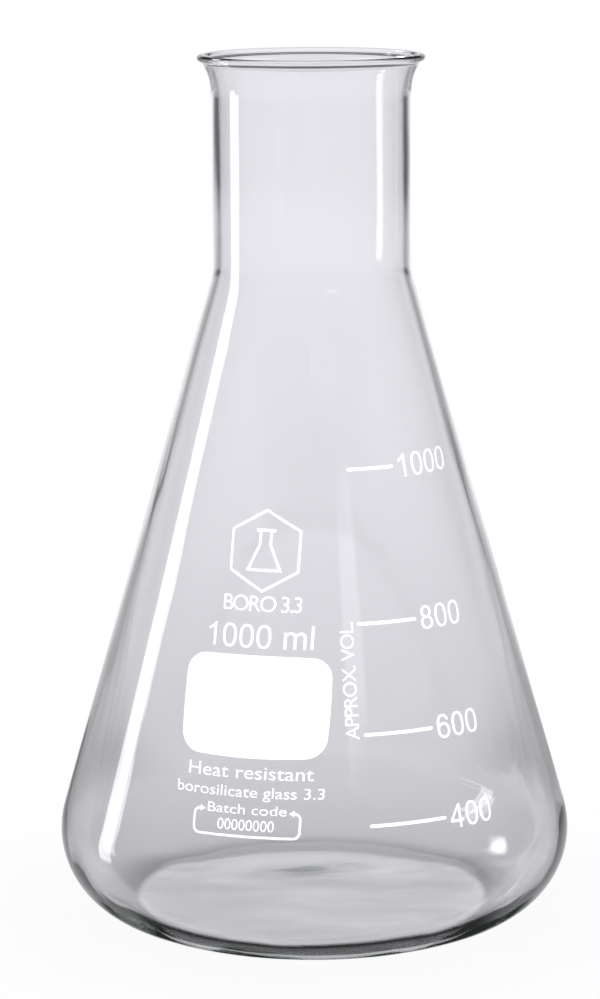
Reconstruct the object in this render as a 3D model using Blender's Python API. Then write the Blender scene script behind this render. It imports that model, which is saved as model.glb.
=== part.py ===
"""Wide-neck Erlenmeyer flask, 1000 ml, of blown borosilicate glass with fired-on white enamel marks.

The frame has its origin at the centre of the resting plane and +Z up. The printed side faces -Y.
An azimuth is measured from -Y towards +X, so a mark with a positive azimuth is right of centre
when it is seen from the front. Lengths are in metres.
"""

import math

import bmesh
import bpy
from mathutils import Matrix, Vector

MM = 0.001

# The glass vessel, outside
HEIGHT = 220 * MM
BODY_RADIUS = 65.5 * MM
NECK_RADIUS = 25 * MM
CONE_ANGLE = math.radians(16.07)  # between the cone's side and the axis
HEEL_RADIUS = 21.7 * MM
SHOULDER_RADIUS = 18 * MM
FLARE_RADIUS = 13.7 * MM
FLARE_ANGLE = math.radians(34)
LIP_DEPTH = 1.9 * MM  # from the top down to the end of the flare's outside
LIP_HALF = (1.2 * MM, 0.9 * MM)  # of the rim's oval section: half its width, half its height
LIP_RADIUS = 28.5 * MM
LIP_START, LIP_END = math.radians(-80), math.radians(190)
FOOT_INNER_RADIUS = 37 * MM
UNDERSIDE_RISE = 1.6 * MM

# The glass vessel, inside
FLARE_END_WALL = 1.4 * MM
NECK_WALL = 1.8 * MM
SHOULDER_WALL = 1.8 * MM
CONE_FOOT_WALL = 2 * MM
FLOOR_THICKNESS = 3 * MM
HEEL_INNER_RADIUS = 19.6 * MM
FLOOR_RISE = 1.2 * MM

# Facets of the turned shape
TURN_STEPS = 64
HEEL_STEPS = 8
HEEL_TOP_STEPS = 2
SHOULDER_STEPS = 4
FLARE_STEPS = 5
LIP_STEPS = 9
DOME_STEPS = 4

# The enamel
ENAMEL_GAP = 0.3 * MM
ENAMEL_THICKNESS = 0.2 * MM
FONT_CAP_HEIGHT = 0.682  # of the built-in font, for a text size of 1
FONT_STEPS = 3
OVAL_STEPS = 4  # per quarter turn
SLICE_WIDTH = 3 * MM  # wide marks bend round the cone in strips of this width
ROUNDING_STEPS = 5

# The volume scale: the height of the line for each volume in millilitres
SCALE_HEIGHTS = {400: 38 * MM, 600: 59.2 * MM, 800: 85.1 * MM, 1000: 121.4 * MM}
SCALE_START = math.radians(12.4)
SCALE_SPAN = math.radians(18.8)
SCALE_LINE_WIDTH = 0.85 * MM
NUMERAL_START = math.radians(32.2)
NUMERAL_HEIGHT = 5.8 * MM
CAPTION_AZIMUTH = math.radians(11.2)
CAPTION_START_HEIGHT = 58.3 * MM
CAPTION_HEIGHT = 3.3 * MM
CAPTION_LENGTH = 28.5 * MM

# The label block, from top to bottom
LABEL_AZIMUTH = math.radians(-16)
EMBLEM_HEIGHT = 102.3 * MM
EMBLEM_SIZE = 20.6 * MM
EMBLEM_LINE = 0.65 * MM
GLASS_TYPE_HEIGHT = 88 * MM
GLASS_TYPE_LETTERS = 3.8 * MM
GLASS_TYPE_LENGTH = 20.4 * MM
CAPACITY_HEIGHT = 79.4 * MM
CAPACITY_LETTERS = 5.7 * MM
PANEL_HEIGHT = 65.7 * MM
PANEL_SIZE = (37.8 * MM, 25 * MM)
PANEL_CORNER = 4.8 * MM
BRACKET_HEIGHT = 35.5 * MM
BRACKET_SIZE = (26.9 * MM, 6 * MM)
BRACKET_CORNER = 1.5 * MM
BRACKET_LINE = 0.6 * MM
ARROW_SIZE = (1.4 * MM, 0.8 * MM)  # its length and half its width

GLASS_COLOUR = (0.86, 0.88, 0.91, 1)
ENAMEL_COLOUR = (0.93, 0.93, 0.94, 1)


# The profile of the glass, as (radius, height) points

def on_circle(centre, radius, angle):
    return (centre[0] + radius * math.cos(angle), centre[1] + radius * math.sin(angle))


def arc(centre, radius, start, end, steps):
    """Points on an arc, from the start angle to the end angle, both ends included."""
    return [
        on_circle(centre, radius, start + (end - start) * i / steps)
        for i in range(steps + 1)
    ]


def dome(edge_radius, edge_height, rise, steps):
    """Points of a shallow raised floor, from its edge to the axis."""
    points = []
    for i in range(steps + 1):
        share = 1 - i / steps
        lift = rise * (1 + math.cos(math.pi * share)) / 2
        points.append((edge_radius * share, edge_height + lift))
    return points


def heel_centre():
    return (BODY_RADIUS - HEEL_RADIUS, HEEL_RADIUS)


def heel_top():
    """Where the heel's round runs out into the cone."""
    return on_circle(heel_centre(), HEEL_RADIUS, CONE_ANGLE)


def cone_radius(height):
    """Outer radius of the cone at a height."""
    radius, foot = heel_top()
    return radius - (height - foot) * math.tan(CONE_ANGLE)


def shoulder_centre():
    """Centre of the round between the cone and the neck, which lies outside the glass."""
    radius, foot = heel_top()
    corner_height = foot + (radius - NECK_RADIUS) / math.tan(CONE_ANGLE)
    run = SHOULDER_RADIUS * math.tan(CONE_ANGLE / 2)
    return (NECK_RADIUS + SHOULDER_RADIUS, corner_height + run)


def flare_centre():
    """Centre of the flare's round, whose outside ends just under the lip."""
    climb = LIP_DEPTH + FLARE_RADIUS * math.sin(FLARE_ANGLE)
    return (NECK_RADIUS + FLARE_RADIUS, HEIGHT - climb)


def outer_profile():
    """From the foot ring up to the lip."""
    points = [(FOOT_INNER_RADIUS, 0.0)]
    points += arc(heel_centre(), HEEL_RADIUS, -math.pi / 2, 0.0, HEEL_STEPS)
    points += arc(heel_centre(), HEEL_RADIUS, 0.0, CONE_ANGLE, HEEL_TOP_STEPS)[1:]
    points += arc(
        shoulder_centre(), SHOULDER_RADIUS, math.pi + CONE_ANGLE, math.pi, SHOULDER_STEPS
    )
    points += arc(
        flare_centre(), FLARE_RADIUS, math.pi, math.pi - FLARE_ANGLE, FLARE_STEPS
    )
    return points


def lip_profile():
    """The fire-polished rim, a flat oval ring, from the outside over the top to the inside."""
    centre_radius, centre_height = LIP_RADIUS - LIP_HALF[0], HEIGHT - LIP_HALF[1]
    return [
        (centre_radius + LIP_HALF[0] * x, centre_height + LIP_HALF[1] * y)
        for x, y in arc((0, 0), 1, LIP_START, LIP_END, LIP_STEPS)
    ]


def flare_inside():
    """From the lip down to the neck. The wall grows evenly to the neck's."""
    points = []
    for i in range(FLARE_STEPS + 1):
        share = i / FLARE_STEPS
        wall = FLARE_END_WALL + (NECK_WALL - FLARE_END_WALL) * share
        angle = math.pi - FLARE_ANGLE * (1 - share)
        points.append(on_circle(flare_centre(), FLARE_RADIUS + wall, angle))
    return points


def inner_profile():
    """From the lip down to the centre of the floor."""
    points = flare_inside()
    shoulder = arc(
        shoulder_centre(),
        SHOULDER_RADIUS + SHOULDER_WALL,
        math.pi,
        math.pi + CONE_ANGLE,
        SHOULDER_STEPS,
    )
    points += shoulder
    top_radius, top_height = shoulder[-1]
    radius, height = heel_top()
    foot_radius = radius - CONE_FOOT_WALL * math.cos(CONE_ANGLE)
    foot_height = height - CONE_FOOT_WALL * math.sin(CONE_ANGLE)
    lean = math.atan2(foot_radius - top_radius, top_height - foot_height)
    centre_height = FLOOR_THICKNESS + HEEL_INNER_RADIUS
    wall_radius = foot_radius - (centre_height - foot_height) * math.tan(lean)
    centre = (wall_radius - HEEL_INNER_RADIUS / math.cos(lean), centre_height)
    points += arc(centre, HEEL_INNER_RADIUS, lean, -math.pi / 2, HEEL_STEPS)
    points += dome(centre[0], FLOOR_THICKNESS, FLOOR_RISE, DOME_STEPS)[1:]
    return points


def underside_profile():
    """From the centre of the underside out to the foot ring."""
    return dome(FOOT_INNER_RADIUS, 0.0, UNDERSIDE_RISE, DOME_STEPS)[::-1][:-1]


# Objects and materials

def clear_scene():
    for obj in list(bpy.data.objects):
        bpy.data.objects.remove(obj)


def make_material(name, colour, roughness, transmission=0.0):
    material = bpy.data.materials.new(name)
    material.use_nodes = True
    shader = material.node_tree.nodes["Principled BSDF"]
    shader.inputs["Base Color"].default_value = colour
    shader.inputs["Roughness"].default_value = roughness
    shader.inputs["Metallic"].default_value = 0.0
    shader.inputs["Transmission Weight"].default_value = transmission
    return material


def add_object(name, mesh, material):
    mesh.name = name
    mesh.materials.append(material)
    obj = bpy.data.objects.new(name, mesh)
    bpy.context.scene.collection.objects.link(obj)
    return obj


def build_glass(material):
    """Turns the closed profile round the axis."""
    profile = outer_profile() + lip_profile() + inner_profile() + underside_profile()
    shape = bmesh.new()
    ring = [shape.verts.new((radius, 0.0, height)) for radius, height in profile]
    edges = [shape.edges.new((a, b)) for a, b in zip(ring, ring[1:] + ring[:1])]
    bmesh.ops.spin(
        shape,
        geom=ring + edges,
        cent=(0, 0, 0),
        axis=(0, 0, 1),
        angle=math.tau,
        steps=TURN_STEPS,
    )
    bmesh.ops.remove_doubles(shape, verts=shape.verts, dist=0.005 * MM)
    bmesh.ops.dissolve_degenerate(shape, edges=shape.edges, dist=0.005 * MM)
    bmesh.ops.recalc_face_normals(shape, faces=shape.faces)
    mesh = bpy.data.meshes.new("glass_body")
    shape.to_mesh(mesh)
    shape.free()
    mesh.shade_smooth()
    return add_object("glass_body", mesh, material)


# Flat enamel shapes: x runs round the flask, y up its side, z out of the glass

def mesh_of_curve(curve):
    """The filled and extruded curve as a closed mesh that stands on z = 0."""
    curve.extrude = ENAMEL_THICKNESS / 2
    helper = bpy.data.objects.new("helper", curve)
    bpy.context.scene.collection.objects.link(helper)
    graph = bpy.context.evaluated_depsgraph_get()
    mesh = bpy.data.meshes.new_from_object(helper.evaluated_get(graph), depsgraph=graph)
    bpy.data.objects.remove(helper)
    mesh.transform(Matrix.Translation((0, 0, ENAMEL_THICKNESS / 2)))
    shape = bmesh.new()
    shape.from_mesh(mesh)
    bmesh.ops.remove_doubles(shape, verts=shape.verts, dist=0.001 * MM)
    bmesh.ops.recalc_face_normals(shape, faces=shape.faces)
    shape.to_mesh(mesh)
    shape.free()
    return mesh


def outline_mesh(*outlines):
    """A flat solid inside closed outlines. An outline inside another one is a hole."""
    curve = bpy.data.curves.new("outline", "CURVE")
    curve.dimensions = "2D"
    curve.fill_mode = "BOTH"
    for outline in outlines:
        spline = curve.splines.new("POLY")
        spline.points.add(len(outline) - 1)
        for point, (x, y) in zip(spline.points, outline):
            point.co = (x, y, 0, 1)
        spline.use_cyclic_u = True
    return mesh_of_curve(curve)


def text_mesh(text, size, spacing):
    curve = bpy.data.curves.new("text", "FONT")
    curve.body = text
    curve.size = size
    curve.space_character = spacing
    curve.resolution_u = FONT_STEPS
    return mesh_of_curve(curve)


def right_edge(mesh):
    return max(vertex.co.x for vertex in mesh.vertices)


def oval(centre, radii, start=0.0, end=360.0, squareness=2.4):
    """Points on a slightly squared oval, from the start angle to the end angle in degrees."""
    steps = max(1, round(abs(end - start) / 90 * OVAL_STEPS))
    points = []
    for i in range(steps + 1):
        angle = math.radians(start + (end - start) * i / steps)
        x, y = math.cos(angle), math.sin(angle)
        points.append(
            (
                centre[0] + radii[0] * math.copysign(abs(x) ** (2 / squareness), x),
                centre[1] + radii[1] * math.copysign(abs(y) ** (2 / squareness), y),
            )
        )
    return points[:-1] if abs(end - start) == 360 else points


# The characters of the numerals: outlines for a height of 1, each with its advance

def zero():
    return 0.777, [oval((0.385, 0.5), (0.325, 0.51)), oval((0.385, 0.5), (0.2, 0.405))]


def one():
    flag = [(0.44, 1.0), (0.34, 0.88), (0.15, 0.76), (0.15, 0.64), (0.28, 0.7), (0.395, 0.79)]
    return 0.777, [[(0.52, 0.0), (0.52, 1.0)] + flag + [(0.395, 0.0)]]


def four():
    outside = [
        (0.02, 0.24), (0.45, 0.24), (0.45, 0.0), (0.575, 0.0), (0.575, 0.24), (0.71, 0.24),
        (0.71, 0.35), (0.575, 0.35), (0.575, 1.0), (0.47, 1.0), (0.02, 0.35),
    ]
    return 0.777, [outside, [(0.14, 0.35), (0.45, 0.35), (0.45, 0.8)]]


def six():
    bowl = (0.385, 0.325)
    outside = oval((0.385, 0.5), (0.325, 0.51), 28, 180)
    outside += oval(bowl, (0.325, 0.335), 180, 484, 2.1)
    outside += oval((0.385, 0.5), (0.2, 0.405), 158, 30)
    return 0.777, [outside, oval(bowl, (0.2, 0.23), squareness=2.1)]


def eight():
    low, high = (0.385, 0.285), (0.385, 0.74)
    outside = oval(low, (0.325, 0.295), 122, 418, 2)
    outside += oval(high, (0.27, 0.27), -49, 229, 2)
    holes = [oval(low, (0.205, 0.19), squareness=2), oval(high, (0.155, 0.165), squareness=2)]
    return 0.777, [outside] + holes


def letter_m():
    first, second = (0.4, 0.5), (0.8275, 0.5)
    outside = [(0.09, 0.0), (0.09, 0.72), (0.205, 0.72)]
    outside += oval(first, (0.2425, 0.235), 139, 30, 2)
    outside += oval(second, (0.2425, 0.235), 149, 0, 2)
    outside += [(1.07, 0.0), (0.945, 0.0)]
    outside += oval((0.79375, 0.48), (0.15125, 0.145), 0, 180, 2)
    outside += [(0.6425, 0.0), (0.5175, 0.0)]
    outside += oval((0.36625, 0.48), (0.15125, 0.145), 0, 180, 2)
    outside += [(0.215, 0.0)]
    return 1.163, [outside]


def letter_l():
    return 0.31, [[(0.09, 0.0), (0.215, 0.0), (0.215, 1.0), (0.09, 1.0)]]


CHARACTERS = {
    "0": zero, "1": one, "4": four, "6": six, "8": eight, "m": letter_m, "l": letter_l,
}
WORD_SPACE = 0.388


def figures(text, height):
    """The printed characters of a volume as meshes in line, and the line's whole length."""
    made, reach = [], 0.0
    for character in text:
        if character == " ":
            reach += WORD_SPACE * height
            continue
        advance, outlines = CHARACTERS[character]()
        made.append(
            outline_mesh(
                *([(reach + x * height, y * height) for x, y in line] for line in outlines)
            )
        )
        reach += advance * height
    return made, reach


def letters(text, cap_height, length):
    """The printed characters of a word in the built-in font, stretched to a length from x = 0."""
    size = cap_height / FONT_CAP_HEIGHT
    natural = right_edge(text_mesh(text, size, 1.0))
    gaps = max(len(text) - 1, 1)
    spacing = 1 + (length - natural) / gaps / (size / 2)
    made = []
    for i, character in enumerate(text):
        if character == " ":
            continue
        edge = right_edge(text_mesh(text[: i + 1], size, spacing))
        mesh = text_mesh(character, size, 1.0)
        mesh.transform(Matrix.Translation((edge - right_edge(mesh), 0, 0)))
        made.append(mesh)
    stretch = length / right_edge(made[-1])
    for mesh in made:
        mesh.transform(Matrix.Diagonal((stretch, 1, 1, 1)))
    return made


def rounded_rectangle(width, height, corner):
    points = []
    for turn, (sx, sy) in enumerate(((1, 1), (-1, 1), (-1, -1), (1, -1))):
        centre = (sx * (width / 2 - corner), sy * (height / 2 - corner))
        start = turn * math.pi / 2
        points += arc(centre, corner, start, start + math.pi / 2, ROUNDING_STEPS)
    return points


def polygon(corners, radius, turn=0.0):
    return arc((0, 0), radius, turn, turn + math.tau * (1 - 1 / corners), corners - 1)


def flask_outline(size, inset):
    """A small conical flask drawn as an outline that is drawn in by inset on every side."""
    neck, lip, base = 0.13 * size - inset, 0.19 * size - inset, 0.36 * size - 1.6 * inset
    top, shoulder = 0.42 * size - inset, 0.12 * size
    lip_bottom = 0.36 * size - inset
    foot = -0.4 * size + inset
    right = [(base, foot), (neck, shoulder), (neck, lip_bottom), (lip, lip_bottom), (lip, top)]
    if inset:
        right = [(base, foot), (neck, shoulder), (neck, top)]
    return right + [(-x, y) for x, y in reversed(right)]


def bracket_outline():
    """An upward-open bracket with rounded corners and inward arrowheads, centred on x = 0."""
    width, height = BRACKET_SIZE
    half, line = width / 2, BRACKET_LINE / 2
    arrow_length, arrow_half = ARROW_SIZE
    right, low, high = half - BRACKET_CORNER, BRACKET_CORNER, height - BRACKET_CORNER

    def run(offset):
        radius = BRACKET_CORNER - offset
        return (
            arc((-right, high), radius, math.pi / 2, math.pi, ROUNDING_STEPS)
            + arc((-right, low), radius, math.pi, 1.5 * math.pi, ROUNDING_STEPS)
            + arc((right, low), radius, -math.pi / 2, 0, ROUNDING_STEPS)
            + arc((right, high), radius, 0, math.pi / 2, ROUNDING_STEPS)
        )

    tip = [(right, height + arrow_half), (right - arrow_length, height), (right, height - arrow_half)]
    return run(-line) + tip + run(line)[::-1] + [(-x, y) for x, y in reversed(tip)]


def slice_across(mesh):
    """Cuts a flat solid into upright strips, so that it can bend round the cone."""
    reach = max(abs(vertex.co.x) for vertex in mesh.vertices)
    shape = bmesh.new()
    shape.from_mesh(mesh)
    count = int(reach / SLICE_WIDTH)
    for i in range(-count, count + 1):
        bmesh.ops.bisect_plane(
            shape,
            geom=shape.verts[:] + shape.edges[:] + shape.faces[:],
            dist=0.001 * MM,
            plane_co=(i * SLICE_WIDTH, 0, 0),
            plane_no=(1, 0, 0),
        )
    bmesh.ops.triangulate(shape, faces=shape.faces)
    shape.to_mesh(mesh)
    shape.free()


def wrap(mesh, azimuth, height):
    """Lays a flat solid on the cone, its origin at an azimuth and a height."""
    for vertex in mesh.vertices:
        x, y, lift = vertex.co
        z = height + y * math.cos(CONE_ANGLE)
        radius = cone_radius(z)
        turn = azimuth + x / radius
        out = ENAMEL_GAP + lift
        radius += out * math.cos(CONE_ANGLE)
        vertex.co = Vector(
            (
                radius * math.sin(turn),
                -radius * math.cos(turn),
                z + out * math.sin(CONE_ANGLE),
            )
        )


def add_mark(name, mesh, azimuth, height, material):
    wrap(mesh, azimuth, height)
    return add_object(name, mesh, material)


# The enamel marks

def build_scale(material):
    """The graduation lines and their numerals."""
    for volume, height in SCALE_HEIGHTS.items():
        length = SCALE_SPAN * cone_radius(height)
        line = outline_mesh(
            rounded_rectangle(length, SCALE_LINE_WIDTH, SCALE_LINE_WIDTH * 0.3)
        )
        slice_across(line)
        middle = SCALE_START + SCALE_SPAN / 2
        add_mark(f"graduation_line_{volume}", line, middle, height, material)
        base = height - NUMERAL_HEIGHT / 2 * math.cos(CONE_ANGLE)
        digits, _ = figures(str(volume), NUMERAL_HEIGHT)
        for i, mesh in enumerate(digits, 1):
            add_mark(f"numeral_{volume}_digit_{i}", mesh, NUMERAL_START, base, material)


def build_scale_caption(material):
    """The words beside the scale, which read upwards."""
    upwards = Matrix.Rotation(math.pi / 2, 4, "Z")
    made = letters("APPROX. VOL.", CAPTION_HEIGHT, CAPTION_LENGTH)
    for i, mesh in enumerate(made, 1):
        mesh.transform(upwards)
        add_mark(
            f"scale_caption_letter_{i:02d}",
            mesh,
            CAPTION_AZIMUTH,
            CAPTION_START_HEIGHT,
            material,
        )


def add_centred(prefix, meshes, length, height, material):
    for i, mesh in enumerate(meshes, 1):
        mesh.transform(Matrix.Translation((-length / 2, 0, 0)))
        add_mark(f"{prefix}_{i}", mesh, LABEL_AZIMUTH, height, material)


def build_glass_type(material):
    meshes = letters("BORO 3.3", GLASS_TYPE_LETTERS, GLASS_TYPE_LENGTH)
    add_centred(
        "glass_type_letter", meshes, GLASS_TYPE_LENGTH, GLASS_TYPE_HEIGHT, material
    )


def build_capacity(material):
    meshes, length = figures("1000 ml", CAPACITY_LETTERS)
    add_centred("capacity_letter", meshes, length, CAPACITY_HEIGHT, material)


def build_emblem(material):
    """A plain hexagon round a small flask, the generic sign of laboratory glass."""
    radius = EMBLEM_SIZE / 2
    inner = radius - EMBLEM_LINE / math.cos(math.pi / 6)
    ring = outline_mesh(
        polygon(6, radius, math.pi / 2), polygon(6, inner, math.pi / 2)
    )
    slice_across(ring)
    add_mark("emblem_hexagon", ring, LABEL_AZIMUTH, EMBLEM_HEIGHT, material)
    flask = outline_mesh(
        flask_outline(EMBLEM_SIZE * 0.62, 0), flask_outline(EMBLEM_SIZE * 0.62, EMBLEM_LINE)
    )
    slice_across(flask)
    add_mark("emblem_flask", flask, LABEL_AZIMUTH, EMBLEM_HEIGHT, material)


def build_panel(material):
    """The solid white patch for writing on."""
    panel = outline_mesh(rounded_rectangle(*PANEL_SIZE, PANEL_CORNER))
    slice_across(panel)
    add_mark("writing_panel", panel, LABEL_AZIMUTH, PANEL_HEIGHT, material)


def build_bracket(material):
    bracket = outline_mesh(bracket_outline())
    slice_across(bracket)
    add_mark("batch_bracket", bracket, LABEL_AZIMUTH, BRACKET_HEIGHT, material)


def main():
    clear_scene()
    glass = make_material("borosilicate_glass", GLASS_COLOUR, 0.02, transmission=1.0)
    enamel = make_material("white_enamel", ENAMEL_COLOUR, 0.45)
    build_glass(glass)
    build_scale(enamel)
    build_scale_caption(enamel)
    build_emblem(enamel)
    build_glass_type(enamel)
    build_capacity(enamel)
    build_panel(enamel)
    build_bracket(enamel)


main()
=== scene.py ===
"""The looks of a wide-neck Erlenmeyer flask: clear blown glass with fired-on white enamel marks.

The glass is turned again from its profile with a fine mesh and an uneven inside. Each enamel mark
is drawn again, fitted to the flat outline of its CAD node, and laid on the glass. Lengths are in
metres. An azimuth is measured from -Y, the printed front, towards +X.
"""

import math

import bmesh
import bpy
from mathutils import Matrix, Vector, noise


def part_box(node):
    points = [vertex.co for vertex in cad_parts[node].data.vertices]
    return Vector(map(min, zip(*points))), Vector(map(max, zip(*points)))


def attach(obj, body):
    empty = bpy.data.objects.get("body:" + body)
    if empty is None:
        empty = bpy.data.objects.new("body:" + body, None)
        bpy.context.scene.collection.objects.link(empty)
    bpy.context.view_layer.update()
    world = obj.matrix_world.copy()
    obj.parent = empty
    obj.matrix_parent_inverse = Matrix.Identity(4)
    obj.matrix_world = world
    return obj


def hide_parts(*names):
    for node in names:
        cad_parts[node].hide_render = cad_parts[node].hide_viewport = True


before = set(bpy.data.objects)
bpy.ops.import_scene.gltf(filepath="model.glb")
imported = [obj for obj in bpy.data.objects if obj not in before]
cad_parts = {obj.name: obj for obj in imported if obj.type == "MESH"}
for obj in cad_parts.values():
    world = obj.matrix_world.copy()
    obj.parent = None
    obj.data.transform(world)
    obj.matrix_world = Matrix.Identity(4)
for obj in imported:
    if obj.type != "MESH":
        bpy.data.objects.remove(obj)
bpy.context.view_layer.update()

MM = 0.001

# The glass vessel. The frame gives its height and its widest radius.
GLASS_LOW, GLASS_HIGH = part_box("glass_body")
HEIGHT = GLASS_HIGH.z
BODY_RADIUS = GLASS_HIGH.x
NECK_RADIUS = 25 * MM
CONE_ANGLE = math.radians(16.07)
HEEL_RADIUS = 21.7 * MM
SHOULDER_RADIUS = 18 * MM
FLARE_RADIUS = 13.7 * MM
FLARE_ANGLE = math.radians(34)
FLARE_END_WALL = 1.4 * MM
LIP_DEPTH = 1.9 * MM  # from the top down to the end of the flare's outside
LIP_HALF = (1.2 * MM, 0.9 * MM)
LIP_RADIUS = 28.5 * MM
FOOT_INNER_RADIUS = 37 * MM
UNDERSIDE_RISE = 1.6 * MM
NECK_WALL = 1.8 * MM
SHOULDER_WALL = 1.8 * MM
CONE_FOOT_WALL = 2 * MM
FLOOR_THICKNESS = 3 * MM
HEEL_INNER_RADIUS = 19.6 * MM
FLOOR_RISE = 1.2 * MM

# The fine mesh of the glass, and how uneven its inside is
TURN_STEPS = 256
PROFILE_STEP = 1.6 * MM
ARC_STEP = math.radians(4)
LIP_STEPS = 36
LIP_START = math.radians(-80)
LIP_TURN = math.radians(270)
ON_AXIS = 1e-9
WALL_WAVE = 0.07 * MM
FLOOR_WAVE = 0.13 * MM
FLOOR_WAVE_TOP = (10 * MM, 40 * MM)  # the floor's waves give way to the wall's over these heights
EVEN_BELOW_RIM = (20 * MM, 4 * MM)  # the waves die out over these depths below the rim

# The enamel. The marks of a group are unrolled from the cone round one azimuth.
SCALE_AZIMUTH = math.radians(12.4 + 18.8 / 2)
NUMERAL_AZIMUTH = math.radians(32.2)
CAPTION_AZIMUTH = math.radians(11.2)
LABEL_AZIMUTH = math.radians(-16)
ENAMEL_GAP = 0.02 * MM
ENAMEL_THICKNESS = 0.03 * MM
LINE_ROUNDING = 0.45  # the corner radius of a graduation line, as a share of the line's width
PANEL_CORNER = 4.8 * MM
PANEL_BULGE = 0.5 * MM
EMBLEM_RING_HOLE = 0.927  # as a share of the hexagon's outer size
EMBLEM_FLASK_STROKE = 0.052  # for a flask 0.82 high
BRACKET_WIDTH = 26.9 * MM
BRACKET_HEIGHT = 6 * MM
BRACKET_LINE = 0.6 * MM
BRACKET_CORNER = 1.5 * MM
ARROW_LENGTH = 1.4 * MM
ARROW_HALF = 0.8 * MM

# The fine meshes of the enamel
FONT_SIZE = 10 * MM  # text is drawn at this size, then fitted to its place
FONT_STEPS = 6
OVAL_STEPS = 12
ROUNDING_STEPS = 12
SLICE_WIDTH = 1 * MM
SAME_PLACE = 0.0005 * MM


# The profile of the glass, as (radius, height) points

def on_circle(centre, radius, angle):
    return (centre[0] + radius * math.cos(angle), centre[1] + radius * math.sin(angle))


def arc(centre, radius, start, end, steps=None):
    """Points on an arc, from the start angle to the end angle, both ends included."""
    steps = steps or max(2, round(abs(end - start) / ARC_STEP))
    return [
        on_circle(centre, radius, start + (end - start) * i / steps)
        for i in range(steps + 1)
    ]


def straight(start, end):
    """Points between two points, without them."""
    steps = max(1, round(math.dist(start, end) / PROFILE_STEP))
    return [
        (
            start[0] + (end[0] - start[0]) * i / steps,
            start[1] + (end[1] - start[1]) * i / steps,
        )
        for i in range(1, steps)
    ]


def dome(edge_radius, edge_height, rise):
    """Points of a shallow raised floor, from its edge to the axis."""
    steps = round(edge_radius / PROFILE_STEP)
    points = []
    for i in range(steps + 1):
        share = 1 - i / steps
        lift = rise * (1 + math.cos(math.pi * share)) / 2
        points.append((edge_radius * share, edge_height + lift))
    return points


HEEL_CENTRE = (BODY_RADIUS - HEEL_RADIUS, HEEL_RADIUS)
HEEL_TOP = on_circle(HEEL_CENTRE, HEEL_RADIUS, CONE_ANGLE)
CORNER_HEIGHT = HEEL_TOP[1] + (HEEL_TOP[0] - NECK_RADIUS) / math.tan(CONE_ANGLE)
SHOULDER_CENTRE = (
    NECK_RADIUS + SHOULDER_RADIUS,
    CORNER_HEIGHT + SHOULDER_RADIUS * math.tan(CONE_ANGLE / 2),
)
FLARE_CENTRE = (
    NECK_RADIUS + FLARE_RADIUS,
    HEIGHT - LIP_DEPTH - FLARE_RADIUS * math.sin(FLARE_ANGLE),
)


def cone_radius(height):
    """Outer radius of the cone at a height."""
    return HEEL_TOP[0] - (height - HEEL_TOP[1]) * math.tan(CONE_ANGLE)


def joined(*runs):
    """One run of points, with straight stretches filled in between the given ones."""
    points = list(runs[0])
    for run in runs[1:]:
        points += straight(points[-1], run[0]) + list(run)
    return points


def smooth_step(value, low, high):
    share = min(max((value - low) / (high - low), 0.0), 1.0)
    return share * share * (3 - 2 * share)


def outer_profile():
    """From the foot ring up to the lip."""
    return joined(
        [(FOOT_INNER_RADIUS, 0.0)],
        arc(HEEL_CENTRE, HEEL_RADIUS, -math.pi / 2, CONE_ANGLE),
        arc(SHOULDER_CENTRE, SHOULDER_RADIUS, math.pi + CONE_ANGLE, math.pi),
        arc(FLARE_CENTRE, FLARE_RADIUS, math.pi, math.pi - FLARE_ANGLE),
    )


def lip_profile():
    """The fire-polished rim, a flat oval ring, from the outside over the top to the inside."""
    centre = (LIP_RADIUS - LIP_HALF[0], HEIGHT - LIP_HALF[1])
    points = []
    for i in range(LIP_STEPS + 1):
        angle = LIP_START + LIP_TURN * i / LIP_STEPS
        points.append(
            (centre[0] + LIP_HALF[0] * math.cos(angle), centre[1] + LIP_HALF[1] * math.sin(angle))
        )
    return points


def inner_profile():
    """From the lip down to the centre of the floor."""
    steps = round(FLARE_ANGLE / ARC_STEP)
    flare = []
    for i in range(steps + 1):
        wall = NECK_WALL + (FLARE_END_WALL - NECK_WALL) * (1 - i / steps)
        angle = math.pi - FLARE_ANGLE * (1 - i / steps)
        flare.append(on_circle(FLARE_CENTRE, FLARE_RADIUS + wall, angle))
    shoulder = arc(
        SHOULDER_CENTRE, SHOULDER_RADIUS + SHOULDER_WALL, math.pi, math.pi + CONE_ANGLE
    )
    top_radius, top_height = shoulder[-1]
    foot_radius = HEEL_TOP[0] - CONE_FOOT_WALL * math.cos(CONE_ANGLE)
    foot_height = HEEL_TOP[1] - CONE_FOOT_WALL * math.sin(CONE_ANGLE)
    lean = math.atan2(foot_radius - top_radius, top_height - foot_height)
    centre_height = FLOOR_THICKNESS + HEEL_INNER_RADIUS
    wall_radius = foot_radius - (centre_height - foot_height) * math.tan(lean)
    centre = (wall_radius - HEEL_INNER_RADIUS / math.cos(lean), centre_height)
    heel = arc(centre, HEEL_INNER_RADIUS, lean, -math.pi / 2)
    floor = dome(centre[0], FLOOR_THICKNESS, FLOOR_RISE)[1:]
    return joined(flare, shoulder, heel) + floor


def underside_profile():
    """From the centre of the underside out to the foot ring."""
    return dome(FOOT_INNER_RADIUS, 0.0, UNDERSIDE_RISE)[::-1][:-1]


def waves(point, across, up, start):
    """Smooth noise at a point, finer as across and up grow. Each start gives other waves."""
    return noise.noise(Vector((point.x * across, point.y * across, point.z * up + start)))


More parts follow.
